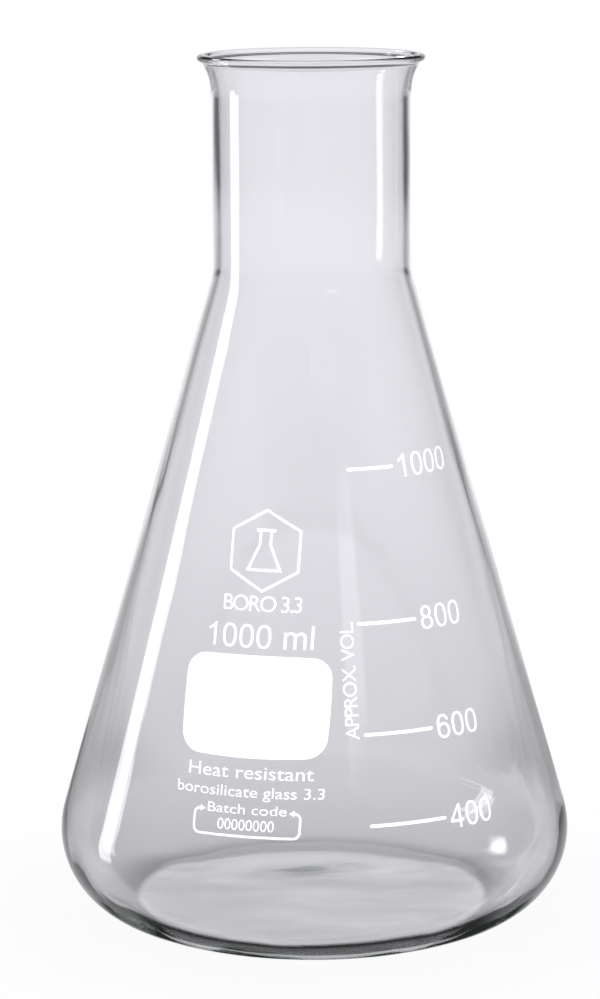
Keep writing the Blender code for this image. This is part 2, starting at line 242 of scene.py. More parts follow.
def unevenness(point):
    """How far the blown inside stands off its even shape at a point."""
    wall = WALL_WAVE * (waves(point, 70, 28, 0) + 0.35 * waves(point, 190, 60, 7))
    floor = FLOOR_WAVE * (waves(point, 55, 0, 3.7) + 0.4 * waves(point, 120, 0, 9.1))
    low = 1 - smooth_step(point.z, *FLOOR_WAVE_TOP)
    fade = 1 - smooth_step(point.z, *(HEIGHT - depth for depth in EVEN_BELOW_RIM))
    return (wall * (1 - low) + floor * low) * fade


def profile_normals(points):
    """Unit normals of a run of profile points, to the left of its direction."""
    normals = []
    for i in range(len(points)):
        (r0, z0), (r1, z1) = points[max(i - 1, 0)], points[min(i + 1, len(points) - 1)]
        length = math.hypot(r1 - r0, z1 - z0)
        normals.append(((z0 - z1) / length, (r1 - r0) / length))
    return normals


def turned_point(radius, height, turn):
    return Vector((radius * math.cos(turn), radius * math.sin(turn), height))


def ring_points(radius, height, normal, uneven):
    """A profile point turned round the axis: a ring, or one point where it lies on the axis."""
    if radius < ON_AXIS:
        point = Vector((0, 0, height))
        if uneven:
            point.z += unevenness(point)
        return [point]
    points = []
    for i in range(TURN_STEPS):
        turn = math.tau * i / TURN_STEPS
        point = turned_point(radius, height, turn)
        if uneven:
            point += turned_point(*normal, turn) * unevenness(point)
        points.append(point)
    return points


def join_rings(shape, lower, upper):
    """Faces between two neighbouring rings. Two single points need none."""
    if len(lower) == 1 and len(upper) == 1:
        return
    for i in range(TURN_STEPS):
        j = (i + 1) % TURN_STEPS
        if len(upper) == 1:
            shape.faces.new((lower[i], lower[j], upper[0]))
        elif len(lower) == 1:
            shape.faces.new((lower[0], upper[j], upper[i]))
        else:
            shape.faces.new((lower[i], lower[j], upper[j], upper[i]))


def build_glass():
    """Turns the profile round the axis. The inside and the floor get their unevenness."""
    outer = outer_profile() + lip_profile()
    inner = inner_profile()
    profile = outer + inner + underside_profile()
    shape = bmesh.new()
    rings = []
    for i, ((radius, height), normal) in enumerate(zip(profile, profile_normals(profile))):
        uneven = len(outer) <= i < len(outer) + len(inner)
        points = ring_points(radius, height, normal, uneven)
        rings.append([shape.verts.new(point) for point in points])
    for lower, upper in zip(rings, rings[1:] + rings[:1]):
        join_rings(shape, lower, upper)
    bmesh.ops.recalc_face_normals(shape, faces=shape.faces)
    mesh = bpy.data.meshes.new("blown_glass_vessel")
    shape.to_mesh(mesh)
    shape.free()
    mesh.shade_smooth()
    add_piece("blown_glass_vessel", mesh, glass_material(), "borosilicate_glass", "glass_body")


# Materials

GLASS_IOR = 1.473
GLASS_TINT = (0.72, 0.75, 0.73, 1)
GLASS_DENSITY = 50.0


class Nodes:
    """A node tree with short calls for the nodes used here."""

    def __init__(self, tree):
        self.tree = tree
        tree.nodes.clear()

    def add(self, kind, **settings):
        node = self.tree.nodes.new("ShaderNode" + kind)
        for name, value in settings.items():
            setattr(node, name, value)
        return node

    def put(self, node, name, value):
        """Links a socket to an input, or sets the input to a plain value."""
        if isinstance(value, bpy.types.NodeSocket):
            self.tree.links.new(value, node.inputs[name])
        else:
            node.inputs[name].default_value = value

    def math(self, operation, *values):
        node = self.add("Math", operation=operation)
        for i, value in enumerate(values):
            self.put(node, i, value)
        return node.outputs[0]

    def product(self, first, second):
        return self.math("MULTIPLY", first, second)

    def length(self, x, y):
        squares = [self.product(value, value) for value in (x, y)]
        return self.math("SQRT", self.math("ADD", *squares))

    def ramp(self, value, from_low, from_high, to_low=0.0, to_high=1.0):
        """Value moved smoothly from one range to another, and held at its ends."""
        node = self.add("MapRange", interpolation_type="SMOOTHSTEP", clamp=True)
        for name, setting in zip(
            ("Value", "From Min", "From Max", "To Min", "To Max"),
            (value, from_low, from_high, to_low, to_high),
        ):
            self.put(node, name, setting)
        return node.outputs["Result"]

    def noise(self, vector, scale, detail, roughness=0.5):
        node = self.add("TexNoise")
        self.put(node, "Vector", vector)
        self.put(node, "Scale", scale)
        self.put(node, "Detail", detail)
        self.put(node, "Roughness", roughness)
        return node.outputs["Fac"]

    def mix(self, share, first, second):
        """A colour between two colours."""
        node = self.add("Mix", data_type="RGBA")
        self.put(node, 0, share)
        self.put(node, 6, first)
        self.put(node, 7, second)
        return node.outputs[2]

    def curve(self, value, points):
        """A colour read from (position, colour) stops."""
        node = self.add("ValToRGB")
        stops = node.color_ramp.elements
        while len(stops) < len(points):
            stops.new(0.5)
        for stop, (place, colour) in zip(stops, points):
            stop.position = place
            stop.color = (*colour, 1)
        self.put(node, "Fac", value)
        return node.outputs["Color"]


def new_material(name):
    material = bpy.data.materials.new(name)
    material.use_nodes = True
    return material, Nodes(material.node_tree)


def glass_material():
    """Clear borosilicate glass, faintly and unevenly grey. Shadow rays pass straight through."""
    material, nodes = new_material("clear_borosilicate_glass")
    place = nodes.add("TexCoord").outputs["Object"]
    tint = nodes.noise(place, 18, 3)
    shader = nodes.add("BsdfPrincipled")
    nodes.put(
        shader, "Base Color", nodes.mix(tint, (0.93, 0.932, 0.945, 1), (0.965, 0.965, 0.975, 1))
    )
    nodes.put(shader, "Roughness", 0.0)
    nodes.put(shader, "IOR", GLASS_IOR)
    nodes.put(shader, "Transmission Weight", 1.0)
    clear = nodes.add("MixShader")
    nodes.put(clear, 0, nodes.add("LightPath").outputs["Is Shadow Ray"])
    nodes.put(clear, 1, shader.outputs[0])
    nodes.put(clear, 2, nodes.add("BsdfTransparent").outputs[0])
    volume = nodes.add("VolumeAbsorption")
    nodes.put(volume, "Color", GLASS_TINT)
    nodes.put(volume, "Density", GLASS_DENSITY)
    output = nodes.add("OutputMaterial")
    nodes.put(output, "Surface", clear.outputs[0])
    nodes.put(output, "Volume", volume.outputs[0])
    return material


def enamel_material():
    """White fired enamel: slightly mottled, with fine pits from the screen it was printed with."""
    material, nodes = new_material("fired_white_enamel")
    place = nodes.add("TexCoord").outputs["Object"]
    mottle = nodes.noise(place, 450, 4, 0.6)
    pits = nodes.noise(place, 3500, 2)
    shader = nodes.add("BsdfPrincipled")
    nodes.put(
        shader, "Base Color", nodes.mix(mottle, (0.88, 0.89, 0.9, 1), (0.97, 0.97, 0.97, 1))
    )
    nodes.put(shader, "Roughness", nodes.ramp(mottle, 0.3, 0.7, 0.38, 0.55))
    bump = nodes.add("Bump")
    nodes.put(bump, "Strength", 0.15)
    nodes.put(bump, "Distance", 0.01 * MM)
    nodes.put(bump, "Height", pits)
    nodes.put(shader, "Normal", bump.outputs["Normal"])
    output = nodes.add("OutputMaterial")
    nodes.put(output, "Surface", shader.outputs[0])
    return material


# Pieces

def add_piece(name, mesh, material, slot, *nodes):
    """Adds a visible piece, which takes the place of the given CAD nodes, if any."""
    mesh.name = name
    mesh.materials.append(material)
    piece = bpy.data.objects.new(name, mesh)
    bpy.context.scene.collection.objects.link(piece)
    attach(piece, "root")
    if nodes:
        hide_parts(*nodes)


# Flat enamel shapes: x runs round the flask, y up its side, z out of the glass

def mesh_of_curve(curve):
    """The filled and extruded curve as a closed mesh that stands on z = 0."""
    curve.extrude = ENAMEL_THICKNESS / 2
    helper = bpy.data.objects.new("helper", curve)
    bpy.context.scene.collection.objects.link(helper)
    graph = bpy.context.evaluated_depsgraph_get()
    mesh = bpy.data.meshes.new_from_object(helper.evaluated_get(graph), depsgraph=graph)
    bpy.data.objects.remove(helper)
    mesh.transform(Matrix.Translation((0, 0, ENAMEL_THICKNESS / 2)))
    return mesh


def outline_mesh(*outlines):
    """A flat solid inside closed outlines. An outline inside another one is a hole."""
    curve = bpy.data.curves.new("outline", "CURVE")
    curve.dimensions = "2D"
    curve.fill_mode = "BOTH"
    for outline in outlines:
        spline = curve.splines.new("POLY")
        spline.points.add(len(outline) - 1)
        for point, (x, y) in zip(spline.points, outline):
            point.co = (x, y, 0, 1)
        spline.use_cyclic_u = True
    return mesh_of_curve(curve)


def text_mesh(text):
    curve = bpy.data.curves.new("text", "FONT")
    curve.body = text
    curve.size = FONT_SIZE
    curve.resolution_u = FONT_STEPS
    return mesh_of_curve(curve)


def oval(centre, radii, start=0.0, end=360.0, squareness=2.4):
    """Points on a slightly squared oval, from the start angle to the end angle in degrees."""
    steps = max(1, round(abs(end - start) / 90 * OVAL_STEPS))
    points = []
    for i in range(steps + 1):
        angle = math.radians(start + (end - start) * i / steps)
        x, y = math.cos(angle), math.sin(angle)
        points.append(
            (
                centre[0] + radii[0] * math.copysign(abs(x) ** (2 / squareness), x),
                centre[1] + radii[1] * math.copysign(abs(y) ** (2 / squareness), y),
            )
        )
    return points[:-1] if abs(end - start) == 360 else points


# The characters of the numerals, as outlines for a height of 1

def zero():
    return [oval((0.385, 0.5), (0.325, 0.51)), oval((0.385, 0.5), (0.2, 0.405))]


def one():
    flag = [(0.44, 1.0), (0.34, 0.88), (0.15, 0.76), (0.15, 0.64), (0.28, 0.7), (0.395, 0.79)]
    return [[(0.52, 0.0), (0.52, 1.0)] + flag + [(0.395, 0.0)]]


def four():
    outside = [
        (0.02, 0.24), (0.45, 0.24), (0.45, 0.0), (0.575, 0.0), (0.575, 0.24), (0.71, 0.24),
        (0.71, 0.35), (0.575, 0.35), (0.575, 1.0), (0.47, 1.0), (0.02, 0.35),
    ]
    return [outside, [(0.14, 0.35), (0.45, 0.35), (0.45, 0.8)]]


def six():
    bowl = (0.385, 0.325)
    outside = oval((0.385, 0.5), (0.325, 0.51), 28, 180)
    outside += oval(bowl, (0.325, 0.335), 180, 484, 2.1)
    outside += oval((0.385, 0.5), (0.2, 0.405), 158, 30)
    return [outside, oval(bowl, (0.2, 0.23), squareness=2.1)]


def eight():
    low, high = (0.385, 0.285), (0.385, 0.74)
    outside = oval(low, (0.325, 0.295), 122, 418, 2)
    outside += oval(high, (0.27, 0.27), -49, 229, 2)
    holes = [oval(low, (0.205, 0.19), squareness=2), oval(high, (0.155, 0.165), squareness=2)]
    return [outside] + holes


def letter_m():
    outside = [(0.09, 0.0), (0.09, 0.72), (0.205, 0.72)]
    outside += oval((0.4, 0.5), (0.2425, 0.235), 139, 30, 2)
    outside += oval((0.8275, 0.5), (0.2425, 0.235), 149, 0, 2)
    outside += [(1.07, 0.0), (0.945, 0.0)]
    outside += oval((0.79375, 0.48), (0.15125, 0.145), 0, 180, 2)
    outside += [(0.6425, 0.0), (0.5175, 0.0)]
    outside += oval((0.36625, 0.48), (0.15125, 0.145), 0, 180, 2)
    return [outside + [(0.215, 0.0)]]


def letter_l():
    return [[(0.09, 0.0), (0.215, 0.0), (0.215, 1.0), (0.09, 1.0)]]


CHARACTERS = {
    "0": zero, "1": one, "4": four, "6": six, "8": eight, "m": letter_m, "l": letter_l,
}


def character_mesh(character):
    if character in CHARACTERS:
        return outline_mesh(*CHARACTERS[character]())
    return text_mesh(character)


# Laying the marks on the cone

def flat_points(node, azimuth):
    """The outline of a CAD mark, unrolled from the cone round an azimuth."""
    points = []
    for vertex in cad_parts[node].data.vertices:
        x, y, z = vertex.co
        out = (math.hypot(x, y) - cone_radius(z)) * math.cos(CONE_ANGLE)
        height = z - out * math.sin(CONE_ANGLE)
        turn = math.atan2(x, -y) - azimuth
        points.append((turn * cone_radius(height), height / math.cos(CONE_ANGLE)))
    return points


def box_of(points):
    xs, ys = [p[0] for p in points], [p[1] for p in points]
    return min(xs), min(ys), max(xs), max(ys)


def fit(mesh, box):
    """Scales and moves a flat mesh so that it fills a box."""
    own = box_of([(v.co.x, v.co.y) for v in mesh.vertices])
    wide = (box[2] - box[0]) / (own[2] - own[0])
    high = (box[3] - box[1]) / (own[3] - own[1])
    mesh.transform(
        Matrix.Translation((box[0], box[1], 0))
        @ Matrix.Diagonal((wide, high, 1, 1))
        @ Matrix.Translation((-own[0], -own[1], 0))
    )


def slice_across(mesh):
    """Cuts a flat solid into narrow upright strips, so that it can bend round the cone."""
    shape = bmesh.new()
    shape.from_mesh(mesh)
    bmesh.ops.remove_doubles(shape, verts=shape.verts, dist=SAME_PLACE)
    low = min(vertex.co.x for vertex in shape.verts)
    high = max(vertex.co.x for vertex in shape.verts)
    count = math.ceil((high - low) / SLICE_WIDTH)
    for i in range(1, count):
        bmesh.ops.bisect_plane(
            shape,
            geom=shape.verts[:] + shape.edges[:] + shape.faces[:],
            dist=SAME_PLACE,
            plane_co=(low + (high - low) * i / count, 0, 0),
            plane_no=(1, 0, 0),
        )
    bmesh.ops.triangulate(shape, faces=shape.faces)
    bmesh.ops.recalc_face_normals(shape, faces=shape.faces)
    shape.to_mesh(mesh)
    shape.free()


def wrap(mesh, azimuth):
    """Lays a flat solid on the cone. Its x starts at an azimuth, its y at the cone's foot plane."""
    for vertex in mesh.vertices:
        x, y, lift = vertex.co
        height = y * math.cos(CONE_ANGLE)
        turn = azimuth + x / cone_radius(height)
        out = ENAMEL_GAP + lift
        radius = cone_radius(height) + out * math.cos(CONE_ANGLE)
        vertex.co = (
            radius * math.sin(turn),
            -radius * math.cos(turn),
            height + out * math.sin(CONE_ANGLE),
        )


def add_mark(name, mesh, azimuth, material, *nodes):
    slice_across(mesh)
    wrap(mesh, azimuth)
    add_piece(name, mesh, material, "white_enamel", *nodes)


def replace_mark(node, mesh, azimuth, material):
    """Puts a finely drawn mark where a CAD mark is."""
    fit(mesh, box_of(flat_points(node, azimuth)))
    add_mark("enamel_" + node, mesh, azimuth, material, node)


def rounded_rectangle(width, height, corner, bulge=0.0):
    """A centred rectangle with round corners. Its sides swell outward by bulge at their middles."""
    points = []
    for turn, (sx, sy) in enumerate(((1, 1), (-1, 1), (-1, -1), (1, -1))):
        centre = (sx * (width / 2 - corner), sy * (height / 2 - corner))
        start = turn * math.pi / 2
        points += arc(centre, corner, start, start + math.pi / 2, ROUNDING_STEPS)
    points = joined(*([p] for p in points + points[:1]))[:-1]
    half_width, half_height = width / 2, height / 2
    return [
        (
            x * (1 + bulge / half_width * (1 - (y / half_height) ** 2)),
            y * (1 + bulge / half_height * (1 - (x / half_width) ** 2)),
        )
        for x, y in points
    ]


def hexagon(radius):
    """A hexagon round the origin with a corner at its top."""
    start = math.pi / 2
    return arc((0, 0), radius, start, start + math.tau * 5 / 6, 5)


def build_scale(material):
    for volume in (400, 600, 800, 1000):
        node = f"graduation_line_{volume}"
        left, low, right, high = box_of(flat_points(node, SCALE_AZIMUTH))
        width = high - low
        line = outline_mesh(rounded_rectangle(right - left, width, LINE_ROUNDING * width))
        replace_mark(node, line, SCALE_AZIMUTH, material)
        for i, digit in enumerate(str(volume), 1):
            node = f"numeral_{volume}_digit_{i}"
            replace_mark(node, character_mesh(digit), NUMERAL_AZIMUTH, material)


def build_scale_caption(material):
    """The words beside the scale, which read upwards."""
    for i, letter in enumerate("APPROX.VOL.", 1):
        mesh = character_mesh(letter)
        mesh.transform(Matrix.Rotation(math.pi / 2, 4, "Z"))
        replace_mark(f"scale_caption_letter_{i:02d}", mesh, CAPTION_AZIMUTH, material)


def mirrored(points):
    """Points on the right, followed by the same points on the left in the opposite order."""
    return points + [(-x, y) for x, y in reversed(points)]


def flask_outline(inset):
    """A small conical flask of height 0.82 as an outline, drawn in by inset. Only inset 0 has a lip."""
    neck, lip, base = 0.13 - inset, 0.19, 0.36 - 1.6 * inset
    top, shoulder, lip_bottom, foot = 0.42 - inset, 0.12, 0.36, -0.4 + inset
    if inset:
        return mirrored([(base, foot), (neck, shoulder), (neck, top)])
    lip_corners = [(neck, lip_bottom), (lip, lip_bottom), (lip, top)]
    return mirrored([(base, foot), (neck, shoulder)] + lip_corners)


def bracket_outline():
    """An upward-open bracket with rounded corners and inward arrowheads, centred on x = 0."""
    right = BRACKET_WIDTH / 2 - BRACKET_CORNER
    low, high = BRACKET_CORNER, BRACKET_HEIGHT - BRACKET_CORNER

    def run(offset):
        """The bracket's line from its left end to its right end, moved inward by offset."""
        corners = ((-right, high, 90), (-right, low, 180), (right, low, -90), (right, high, 0))
        points = []
        for x, y, degrees in corners:
            start = math.radians(degrees)
            radius = BRACKET_CORNER - offset
            points += arc((x, y), radius, start, start + math.pi / 2, ROUNDING_STEPS)
        return points

    right_arrow = [
        (right, BRACKET_HEIGHT + ARROW_HALF),
        (right - ARROW_LENGTH, BRACKET_HEIGHT),
        (right, BRACKET_HEIGHT - ARROW_HALF),
    ]
    left_arrow = [(-x, y) for x, y in reversed(right_arrow)]
    return run(-BRACKET_LINE / 2) + right_arrow + run(BRACKET_LINE / 2)[::-1] + left_arrow


def build_label(material):
    """The writing panel with the emblem, the glass type, the capacity and the batch bracket."""
    azimuth = LABEL_AZIMUTH
    left, low, right, high = box_of(flat_points("writing_panel", azimuth))
    panel = outline_mesh(rounded_rectangle(right - left, high - low, PANEL_CORNER, PANEL_BULGE))
    replace_mark("writing_panel", panel, azimuth, material)
    ring = outline_mesh(hexagon(1), hexagon(EMBLEM_RING_HOLE))
    replace_mark("emblem_hexagon", ring, azimuth, material)
    flask = outline_mesh(flask_outline(0), flask_outline(EMBLEM_FLASK_STROKE))
    replace_mark("emblem_flask", flask, azimuth, material)
    for i, letter in enumerate("BORO3.3", 1):
        replace_mark(f"glass_type_letter_{i}", character_mesh(letter), azimuth, material)
    for i, letter in enumerate("1000ml", 1):
        replace_mark(f"capacity_letter_{i}", character_mesh(letter), azimuth, material)
    replace_mark("batch_bracket", outline_mesh(bracket_outline()), azimuth, material)


def build_small_print(material):
    """The text lines that are too fine for CAD nodes: two notes, and the batch code."""
    left, panel_foot, right, _ = box_of(flat_points("writing_panel", LABEL_AZIMUTH))
    _, bracket_foot, _, _ = box_of(flat_points("batch_bracket", LABEL_AZIMUTH))
    middle = (left + right) / 2
    # name, words, half their width, the foot of their letters, the height of their letters
    lines = (
        ("note_heat", "Heat resistant", 16 * MM, panel_foot - 5 * MM, 3.2 * MM),
        ("note_glass", "borosilicate glass 3.3", 18.9 * MM, panel_foot - 10.3 * MM, 3.5 * MM),
        ("batch_caption", "Batch code", 10 * MM, bracket_foot + 5.65 * MM, 2.35 * MM),
        ("batch_digits", "00000000", 7.15 * MM, bracket_foot + 1.7 * MM, 2.7 * MM),
    )
    for name, words, half, foot, height in lines:
        mesh = text_mesh(words)
        fit(mesh, (middle - half, foot, middle + half, foot + height))
        add_mark("enamel_" + name, mesh, LABEL_AZIMUTH, material)


# The studio. It turns with the camera: a place on the floor is how far it lies to the camera's
# right and level ahead of the flask's axis. In the world, a side angle of 0 degrees is straight
# ahead, 90 is to the right, and a height angle of 0 is the horizon.

WHITE = (1, 1, 1, 1)
DARK = (0.12, 0.12, 0.13, 1)

BACKDROP = (0.87, 0.855, 0.89, 1)
WALLS = (0.4, 0.4, 0.41, 1)
WALLS_ASIDE = (15, 30)  # the backdrop gives way to the walls over these angles
DARK_ASIDE = (50, 62)
CEILING_HEIGHT = (11, 17)
# The tent's lamps: side angles and soft edge, height angles and soft edge, brightness
TENT_LAMPS = (
    ((-46, -31, 8), (31, 34, 4), (9.0, 9.0, 9.1, 1)),
    ((153, 161, 3), (17.5, 19.5, 2), (1.3, 1.3, 1.35, 1)),
)
LEVEL_VIEW = (0.15, 0.27)  # how steeply from above a surface is seen, as the sine of the angle

FLOOR_RADIUS = 6.0
FLOOR_SIDES = 64
FLOOR_DROP = 0.1 * MM
PAINTED_CONTACT_SHADOW = (0.05, 0.12, 0.96)  # the painted contact shadow on the floor the camera sees: where it starts and ends, and its level
# How bright the lit floor is at each place ahead of the axis, and the stretch this covers. This is
# painted light and shade, darkest in front of the foot.
AHEAD_START = -0.5
AHEAD_SPAN = 5.5
AHEAD_LEVELS = (
    (-0.5, 0.04), (-0.075, 0.05), (-0.045, 0.65), (0.07, 0.7), (0.1, 0.75), (0.14, 0.78),
    (0.22, 0.81), (0.3, 0.845), (0.5, 0.92), (0.8, 0.98), (1.2, 1.0), (2.75, 1.0),
    (3.0, 0.83),
)
# How bright it is to the left and right of that, at each distance from the axis: painted shade, darker
# than behind the flask
SIDE_LEVELS = ((0.1, 0.36), (0.5, 0.42), (1.6, 0.42), (1.95, 0.13), (2.7, 0.13), (3.8, 0.4))
SIDE_START = (0.1, 0.2)  # nearer the axis than this the floor is the same all round
FLOOR_TINT = (1.035, 1.02, 1.06, 1)
FLOOR_SIDE_BLUE = 1.03

# On the floor under the flask: a painted pool of light, a pale mottled disc, and round it a painted
# shadow, a darker ring
DISC_CENTRE = (-1 * MM, -8 * MM)
DISC_EDGE = (44.5 * MM, 48 * MM)
DISC_LEVELS = (0.65, 0.74)
DISC_FRONT_GAIN, DISC_BACK_GAIN = 1.27, 1.12
DISC_GAIN_AHEAD = (-5 * MM, 30 * MM)
SHADOW_RING_EDGE = (47 * MM, 67 * MM)
SHADOW_RING_LEVEL = 0.58

# A painted shadow, the dark arc in front of the foot: a broad band straight in front, narrow towards
# its ends
ARC_CENTRE = (0.0, 13 * MM)
ARC_BAND = (62.5 * MM, 76 * MM, 1.5 * MM)
ARC_ENDS_AHEAD = (-22 * MM, -8 * MM)
ARC_NARROW_EDGE = (67 * MM, 69 * MM)
ARC_BROAD_ASIDE = (120, 134)
ARC_SHADOW_COLOUR = (0.03, 0.03, 0.03, 1)

# The strip light, and its glow on the floor, painted there as a pool of light: a wedge that opens to
# the left from one place
STRIP_SIDE = -0.4
STRIP_AHEAD = (0.034, 0.107)
STRIP_EDGE = 0.009
STRIP_HEIGHT = (0.002, 0.32)
STRIP_COLOUR = (1.0, 1.0, 1.02, 1)
STRIP_STRENGTH = 6.5
GLOW_FROM = (-45 * MM, -45 * MM)
GLOW_WEDGE = (0.25, 0.4, 0.03)  # ahead per unit to the left
GLOW_SIDE = (-0.4, -0.18, 0.04)
PAINTED_GLOW_COLOUR = (6.0, 6.0, 6.1, 1)

CAMERA_PLACE = (-3.3 * MM, -871.5 * MM, 274.2 * MM)
CAMERA_DOWN = math.radians(10.86)
CAMERA_ROLL = math.radians(-0.3)
LENS, SENSOR = 125.4, 36  # millimetres
LAMP_STRENGTH = 2.6
LAMP_SPREAD = math.radians(30)
LAMPS = (("key", -25, 25), ("fill", 40, 15))  # degrees to the right of the camera, and above it
BOUNCES = 32


def camera_axes(nodes, vector):
    """A world-space vector's parts to the camera's right and level ahead of the camera."""

    def to_camera(value):
        node = nodes.add(
            "VectorTransform", vector_type="VECTOR", convert_from="WORLD", convert_to="CAMERA"
        )
        nodes.put(node, 0, value)
        return node.outputs[0]

    level = nodes.add("VectorMath", operation="CROSS_PRODUCT")
    nodes.put(level, 0, (1, 0, 0))
    nodes.put(level, 1, to_camera((0, 0, 1)))
    turned = to_camera(vector)
    ahead = nodes.add("VectorMath", operation="DOT_PRODUCT")
    nodes.put(ahead, 0, turned)
    nodes.put(ahead, 1, level.outputs[0])
    parts = nodes.add("SeparateXYZ")
    nodes.put(parts, 0, turned)
    return parts.outputs[0], ahead.outputs["Value"]


def side_angle(nodes, right, ahead):
    return nodes.math("DEGREES", nodes.math("ARCTAN2", right, ahead))


def window(nodes, value, low, high, edge):
    """1 between low and high, falling softly to 0 within edge outside them."""
    rise = nodes.ramp(value, low - edge, low)
    fall = nodes.ramp(value, high, high + edge, 1.0, 0.0)
    return nodes.product(rise, fall)


def seen_level(nodes):
    """1 where a surface is seen from a level direction, 0 where it's seen from well above."""
    incoming = nodes.add("SeparateXYZ")
    nodes.put(incoming, 0, nodes.add("NewGeometry").outputs["Incoming"])
    return nodes.ramp(incoming.outputs[2], *LEVEL_VIEW, 1.0, 0.0)


def seen_or_mirrored(nodes, seen, mirrored):
    """One colour for the camera itself, another for what the glass mirrors and bends."""
    return nodes.mix(nodes.add("LightPath").outputs["Is Camera Ray"], mirrored, seen)


def studio_world():
    """A light tent that turns with the camera: what the glass mirrors and bends.

    The camera itself sees plain white. All other rays read a pale backdrop behind the flask, grey
    walls, darkness beside the camera and above, and two lamps: a bright one high at the left and a
    dim one behind the camera.
    """
    world = bpy.data.worlds.new("studio")
    bpy.context.scene.world = world
    world.use_nodes = True
    nodes = Nodes(world.node_tree)
    direction = nodes.add("TexCoord").outputs["Generated"]
    axes = nodes.add("SeparateXYZ")
    nodes.put(axes, 0, direction)
    side = side_angle(nodes, *camera_axes(nodes, direction))
    aside = nodes.math("ABSOLUTE", side)
    height = nodes.math("DEGREES", nodes.math("ARCSINE", axes.outputs[2]))
    colour = nodes.mix(nodes.ramp(aside, *WALLS_ASIDE), BACKDROP, WALLS)
    colour = nodes.mix(nodes.ramp(aside, *DARK_ASIDE), colour, DARK)
    colour = nodes.mix(nodes.ramp(height, *CEILING_HEIGHT), colour, DARK)
    for sides, heights, brightness in TENT_LAMPS:
        share = nodes.product(window(nodes, side, *sides), window(nodes, height, *heights))
        colour = nodes.mix(share, colour, brightness)
    background = nodes.add("Background")
    nodes.put(background, "Color", seen_or_mirrored(nodes, WHITE, colour))
    output = nodes.add("OutputWorld")
    nodes.put(output, "Surface", background.outputs[0])


def distance_from(nodes, right, ahead, place):
    """How far a place on the floor is from another one, given as (right, ahead)."""
    return nodes.length(
        nodes.math("SUBTRACT", right, place[0]), nodes.math("SUBTRACT", ahead, place[1])
    )


def with_disc(nodes, level, place, right, ahead):
    """The floor with the painted pool of light under the flask, a mottled disc, and the painted shadow
    round it, a darker ring.
    """
    reach = distance_from(nodes, right, ahead, DISC_CENTRE)
    # The painted shadow: a darker ring round the disc.
    level = nodes.product(level, nodes.ramp(reach, *SHADOW_RING_EDGE, SHADOW_RING_LEVEL, 1.0))
    # The painted pool of light: a pale mottled disc, brighter in front.
    stretched = nodes.add("Mapping")
    nodes.put(stretched, "Vector", place)
    nodes.put(stretched, "Rotation", (0, 0, 0.25))
    nodes.put(stretched, "Scale", (0.4, 1.2, 1.0))
    mottle = nodes.noise(stretched.outputs[0], scale=75, detail=4, roughness=0.6)
    gain = nodes.ramp(ahead, *DISC_GAIN_AHEAD, DISC_FRONT_GAIN, DISC_BACK_GAIN)
    disc = nodes.product(nodes.ramp(mottle, 0.35, 0.68, *DISC_LEVELS), gain)
    return nodes.mix(nodes.ramp(reach, *DISC_EDGE, 1.0, 0.0), level, disc)


def with_arc(nodes, level, right, ahead, aside):
    """The floor with the painted shadow in front of the foot, a dark arc."""
    reach = distance_from(nodes, right, ahead, ARC_CENTRE)
    missing = nodes.product(
        nodes.ramp(reach, *ARC_NARROW_EDGE), nodes.ramp(aside, *ARC_BROAD_ASIDE, 1.0, 0.0)
    )
    in_front = nodes.ramp(ahead, *ARC_ENDS_AHEAD, 1.0, 0.0)
    there = nodes.product(in_front, nodes.math("SUBTRACT", 1, missing))
    return nodes.mix(nodes.product(window(nodes, reach, *ARC_BAND), there), level, ARC_SHADOW_COLOUR)


def strip_glow(nodes, right, ahead):
    """How much of the strip light's painted glow there is on the floor."""
    wedge = nodes.math(
        "DIVIDE",
        nodes.math("SUBTRACT", ahead, GLOW_FROM[1]),
        nodes.math("SUBTRACT", GLOW_FROM[0], right),
    )
    glow = nodes.product(window(nodes, wedge, *GLOW_WEDGE), window(nodes, right, *GLOW_SIDE))
    return nodes.product(glow, seen_level(nodes))


def lit_floor(nodes, place, right, ahead, distance):
    """The floor as the glass bends it, with painted light and shade: brightest far behind the flask,
    and darker to the sides.
    """
    levels = [((where - AHEAD_START) / AHEAD_SPAN, (value,) * 3) for where, value in AHEAD_LEVELS]
    share = nodes.math("DIVIDE", nodes.math("SUBTRACT", ahead, AHEAD_START), AHEAD_SPAN)
    level = nodes.curve(share, levels)
    aside = nodes.math("ABSOLUTE", side_angle(nodes, right, ahead))
    level = with_disc(nodes, level, place, right, ahead)
    level = with_arc(nodes, level, right, ahead, aside)
    tint = nodes.add("Mix", data_type="RGBA", blend_type="MULTIPLY")
    nodes.put(tint, 0, 1.0)
    nodes.put(tint, 6, level)
    nodes.put(tint, 7, FLOOR_TINT)
    levels = [
        (where / FLOOR_RADIUS, (value, value, value * FLOOR_SIDE_BLUE))
        for where, value in SIDE_LEVELS
    ]
    dim = nodes.curve(nodes.math("DIVIDE", distance, FLOOR_RADIUS), levels)
    edge = nodes.product(nodes.ramp(aside, *WALLS_ASIDE), nodes.ramp(distance, *SIDE_START))
    colour = nodes.mix(edge, tint.outputs[2], dim)
    # The strip light's glow, painted onto the floor as a pool of light.
    return nodes.mix(strip_glow(nodes, right, ahead), colour, PAINTED_GLOW_COLOUR)


